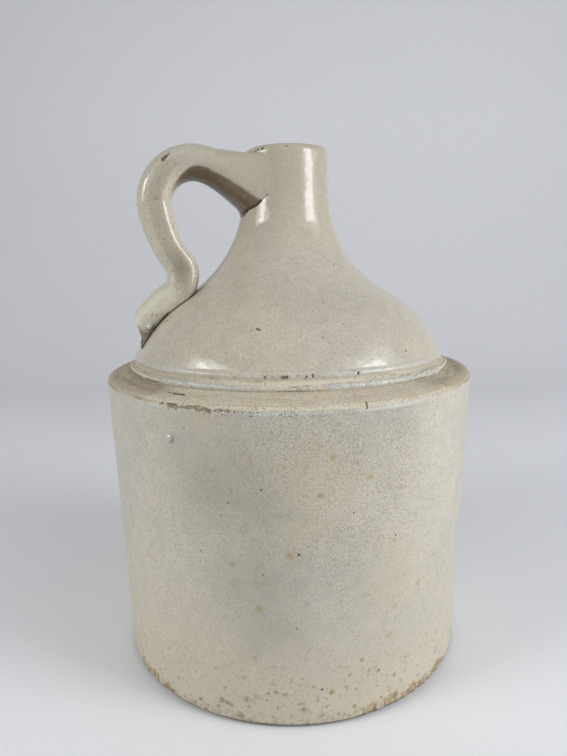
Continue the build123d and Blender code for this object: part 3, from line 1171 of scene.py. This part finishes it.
def dome_material():
    """Glaze of the dome: glossy putty with fine speckle, bare groove and pooled glaze at the foot."""
    shader = Shader("shoulder_glaze")
    relief = glaze_coat(shader, (dome_putty, dome_ash, dome_blush), 0.28, 0.6, 0.1, 0.42)
    wander = shader.scale(shader.noise(7, 4.0, (0, 50, 0)), 1.0, -0.5)
    way = shader.math("ADD", shader.attribute("way"), wander)
    rings = shader.ringwise(shader.attribute("way"))
    pooled = shader.band(way, 4.3, 7.0, 0.5)
    thin = shader.times(
        shader.flecks(2.2, 0.36, 0.6, (0, 9, 0), rings),
        shader.flecks(1.1, 0.3, 0.5, (2, 0, 5)),
    )
    groove = shader.band(way, -40, 4.2, 0.3)
    chip = ragged(shader, "chip", (2, 9, 70))
    pitted = shader.mix(shader.flecks(0.9, 0.42, 0.58, (2, 9, 70)), clay_grime, pit_black)
    shader.coat(
        (neck_brown, neck_tint(shader)),
        (pit_black, shader.pinholes(15), 0.8),
        (pit_black, shader.spots(on_skin(dome_marks, dome_skin), 0.35), 0.85),
        (speckle_brown, shader.spots(on_skin(dome_stains, dome_skin), 1.1, 0.1), 0.6),
        (chip_brown, shader.spots(on_rings(rim_marks), 0.8), 0.85),
        # Crescent round a burst bubble, and painted crease shade under the handle's root
        (pit_black, shader.most(shader.strokes(ring_strokes(dome_strokes), 0.15), root_crease_shade(shader))),
        (pooled_white, pooled, thin, 0.7),
        (clay_grime, pooled, shader.flecks(1.1, 0.57, 0.68, (17, 3, 0)), 0.5),
        (groove_clay(shader, rings), groove),
        (inner_glaze, shader.attribute("inner")),
        (pitted, chip, 0.85),
    )
    rough = shader.most(groove, chip, shader.times(pooled, 0.3))
    return shader.finish(shader.scale(rough, 0.5, 0.15), relief, 0.16)


def groove_clay(shader, rings):
    """Bare clay in the groove round the dome's foot, dirtier away from the front."""
    return shader.layered(
        bare_clay,
        (clay_cream, shader.flecks(1.1, 0.48, 0.66, (0, 0, 70), rings)),
        (clay_grime, shader.flecks(0.8, 0.56, 0.68, (0, 0, 12), rings), 0.6),
        (clay_speck, shader.flecks(0.9, 0.6, 0.68, (8, 80, 8)), 0.6),
        (clay_grime, shader.scale(facing(shader, clean_turn, 35, 60), -0.35, 0.35)),
    )


def handle_material():
    """Glaze of the handle: greener on its outer edge, brown in its hollow side, cream on its inner edge
    partly as painted light, with painted shade under the arch, in the elbow's pinch, along its crease and
    contact lines and in its dished end.
    """
    shader = Shader("handle_glaze")
    relief = glaze_coat(shader, (dome_putty, dome_ash, dome_blush), 0.28, 0.6, 0.1, 0.42)
    outer = shader.attribute("outer")
    along = shader.attribute("along")
    arch_start, grip, elbow, tail_start = strap_stations[1:5]
    rooted = shader.step(along, arch_start + 14, arch_start - 6)
    gripped = shader.band(along, arch_start + 12, tail_start - 4, 10)
    tail = shader.step(along, tail_start - 10, tail_start + 4)
    clouds = shader.scale(shader.flecks(3.4, 0.36, 0.62, (21, 4, 8)), 0.5, 0.3)
    pinched = shader.times(shader.band(along, elbow - 3, elbow + 9, 7), shader.band(outer, -0.3, 0.35, 0.3))
    # Where the painted shade under the arch falls: the strap's lower side, from the root to the grip, wider
    # near the root
    drift = shader.scale(shader.noise(6, 3.0, (9, 0, 2)), 0.16, -0.08)
    leaving = shader.times(shader.step(along, arch_start + 4, arch_start + 28), 0.4)
    shaded = shader.math("ADD", outer, shader.math("ADD", drift, leaving))
    under = shader.times(shader.step(shaded, -0.36, -0.5), shader.step(along, grip - 2, grip - 24))
    chip = shader.layered(chip_brown, (chip_tan, shader.flecks(1.2, 0.4, 0.56, (6, 2, 1)), 0.4))
    # Painted shade along the handle's crease and contact lines, broken up by noise
    shade_line = shader.math("ADD", shader.attribute("seam_shade"), shader.scale(shader.noise(2.5, 2.0), 0.5, -0.25))
    seam_shade = shader.step(shade_line, 0.4, 0.9)
    shader.coat(
        (neck_brown, rooted, neck_tint(shader)),
        (strap_green, shader.step(outer, 0.25, 0.75), gripped, 0.75),
        (strap_brown, shader.band(outer, -0.3, 0.3, 0.2), gripped, 0.6),
        # Cream on the inner edge, partly painted light
        (strap_cream_and_light, shader.step(outer, -0.3, -0.7), gripped, 0.5),
        (strap_pale, tail, clouds),
        # Moss glaze in the elbow's pinch, with painted shade in the hollow
        (strap_moss_and_shade, pinched, 0.7),
        # Painted shade under the arch, in brown
        (shade_brown, under, shader.scale(shader.noise(3, 3.0, (2, 7, 5)), 0.3, 0.75)),
        (speckle_brown, shader.flecks(1.1, 0.6, 0.68, (9, 9, 40)), gripped, 0.6),
        (pit_black, shader.pinholes(15), 0.8),
        (chip_brown, shader.spots(handle_marks, 0.5), 0.8),
        (chip, shader.strokes([arch_chip], 1.0, 0.5)),
        # Painted crease shade under the root
        (pit_black, root_crease_shade(shader)),
        # Olive in the dished tail end, partly painted shade
        (pocket_shade_olive, shader.attribute("pocket_shade")),
        # Painted crevice shade along those lines
        (crevice_shade, seam_shade),
    )
    dull = shader.most(seam_shade, shader.step(along, tail_start - 4, tail_start + 6))
    return shader.finish(shader.scale(dull, 0.35, 0.15), relief, 0.16)


def slip_material():
    """Slip squeezed out round the dome's foot: glassy and pale in places, worn to tan clay in others."""
    shader = Shader("slip")
    wear = shader.times(shader.attribute("worn"), 0.5)
    worn = shader.step(shader.math("ADD", shader.noise(6, 4.0, (6, 60, 0)), wear), 0.62, 0.8)
    shader.colour = shader.layered(
        bead_grey,
        (bare_clay, worn, 0.9),
        (bare_clay, shader.flecks(1.6, 0.45, 0.62, (4, 8, 8)), 0.7),
        (clay_grime, shader.flecks(0.9, 0.54, 0.66, (50, 8, 8)), 0.55),
    )
    return shader.finish(shader.scale(worn, 0.45, 0.2), shader.noise(0.9, 3.0), 0.3)


def crevice_shade_material():
    """Slip deep in the joint of the handle's root, painted dark as crevice shade."""
    shader = Shader("seam_shade_slip")
    shader.colour = shader.mix(shader.noise(1.5, 3.0), crevice_shade, shade_brown)
    return shader.finish(0.7, shader.noise(1.0, 3.0), 0.1)


def tail_slip_shade_material():
    """Grimy slip that shows under the handle's tail, darkened as painted shade under the tail."""
    shader = Shader("tail_slip_shade")
    shader.colour = shader.mix(shader.flecks(2.4, 0.4, 0.62, (3, 1, 8)), grime_and_shade, pocket_shade_olive)
    return shader.finish(0.5, shader.noise(1.4, 3.0), 0.2)


def glass_material():
    """Greyish glass of the blister and the drop."""
    shader = Shader("drop_glaze")
    shader.colour = shader.mix(shader.noise(1.2, 2.0), blister_glass, ash)
    return shader.finish(0.06, shader.noise(2.0, 2.0), 0.05)


def dress(piece, material, slot, *nodes):
    """Gives a piece its material, and hides the frame's nodes that it stands for. Its slot is not used."""
    piece.data.materials.clear()
    piece.data.materials.append(material)
    if nodes:
        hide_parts(*nodes)


def make_stage():
    """A pale floor that curves up into a plain backdrop behind the jug."""
    floor_reach = 2.2
    back_reach = 1.1
    sweep_radius = 0.5
    wall_height = 2.4
    side_reach = 3.0
    corner = bend((back_reach - sweep_radius, sweep_radius), sweep_radius, -90, 0, 0.05)
    profile = np.vstack(((-floor_reach, 0), corner, (back_reach, wall_height)))
    spin = Matrix.Rotation(radians(camera_turn), 3, "Z")
    sides = (-side_reach, side_reach)
    points = [spin @ Vector((side, depth, height)) for side in sides for depth, height in profile]
    count = len(profile)
    faces = [(i, i + count, i + count + 1, i + 1) for i in range(count - 1)]
    mesh = bpy.data.meshes.new("studio_sweep")
    mesh.from_pydata(points, [], faces)
    mesh.polygons.foreach_set("use_smooth", [True] * len(mesh.polygons))
    sweep = bpy.data.objects.new("studio_sweep", mesh)
    bpy.context.scene.collection.objects.link(sweep)
    shader = Shader("studio_sweep")
    shader.colour = shader.mix(shader.noise(400, 2.0), floor_cool, floor_pale)
    mesh.materials.append(shader.finish(0.9, shader.noise(50, 2.0), 0.02))


def direction(azimuth, elevation):
    """A direction from the jug, with its azimuth counted from the camera towards the camera's right."""
    turn = radians(camera_turn + azimuth - 90)
    level = cos(radians(elevation))
    return Vector((level * cos(turn), level * sin(turn), sin(radians(elevation))))


def make_light(name, azimuth, elevation, distance, width, height, power, colour):
    """A soft rectangular light that faces the jug's middle."""
    target = Vector((0, 0, 0.13))
    data = bpy.data.lights.new(name, "AREA")
    data.shape = "RECTANGLE"
    data.size = width
    data.size_y = height
    data.energy = power
    data.color = colour[:3]
    light = bpy.data.objects.new(name, data)
    towards = direction(azimuth, elevation)
    light.location = target + towards * distance
    light.rotation_mode = "QUATERNION"
    light.rotation_quaternion = towards.to_track_quat("Z", "Y")
    light.visible_camera = False
    bpy.context.scene.collection.objects.link(light)


def make_lights():
    """A wide panel with a brighter core at the front right and at the left, and a pale surround."""
    make_light("key_panel", 66, 24, 1.2, 0.9, 0.8, 3.6, cool_white)
    make_light("key_core", 65, 21, 1.18, 0.44, 0.56, 7.1, cool_white)
    make_light("fill_panel", -64, 24, 1.1, 0.6, 0.5, 3.2, white)
    make_light("fill_core", -62, 28, 1.08, 0.28, 0.24, 2.1, cool_white)
    world = bpy.data.worlds.new("surround")
    world.use_nodes = True
    background = world.node_tree.nodes["Background"]
    background.inputs["Color"].default_value = surround_pale
    background.inputs["Strength"].default_value = 0.31
    bpy.context.scene.world = world


def make_camera():
    """The camera at the photograph's place, angle and field of view."""
    tilt = radians(camera_tilt)
    yaw = radians(camera_yaw)
    roll = radians(camera_roll)
    forward = Vector((sin(yaw) * cos(tilt), cos(yaw) * cos(tilt), -sin(tilt)))
    level = Vector((cos(yaw), -sin(yaw), 0))
    down = forward.cross(level)
    right = level * cos(roll) + down * sin(roll)
    up = level * sin(roll) - down * cos(roll)
    spin = Matrix.Rotation(radians(camera_turn), 3, "Z")
    axes = Matrix((spin @ right, spin @ up, spin @ -forward)).transposed()
    data = bpy.data.cameras.new("camera")
    data.sensor_width = sensor_size
    data.lens = sensor_size * focal_pixels / image_height
    data.clip_start = 0.01
    camera = bpy.data.objects.new("camera", data)
    place = spin @ Vector((0, -camera_distance * MM, camera_height * MM))
    camera.matrix_world = Matrix.Translation(place) @ axes.to_4x4()
    bpy.context.scene.collection.objects.link(camera)
    bpy.context.scene.camera = camera


def main():
    dress(make_body(), body_material(), "body_glaze", "crock_body")
    dress(make_dome(), dome_material(), "shoulder_glaze", "shoulder_dome")
    dress(make_bead(), slip_material(), "slip", "shoulder_lute")
    dress(make_handle(), handle_material(), "handle_glaze", "handle")
    glass = glass_material()
    dress(make_drop("glaze_blister", *wall_blister), glass, "body_glaze")
    dress(make_drop("glaze_drop", *tail_drop), glass, "handle_glaze")
    dress(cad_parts["handle_neck_lute"], crevice_shade_material(), "slip")
    dress(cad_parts["handle_tail_lute"], tail_slip_shade_material(), "slip")
    make_stage()
    make_lights()
    make_camera()
    bpy.context.scene.view_settings.view_transform = "Standard"


main()
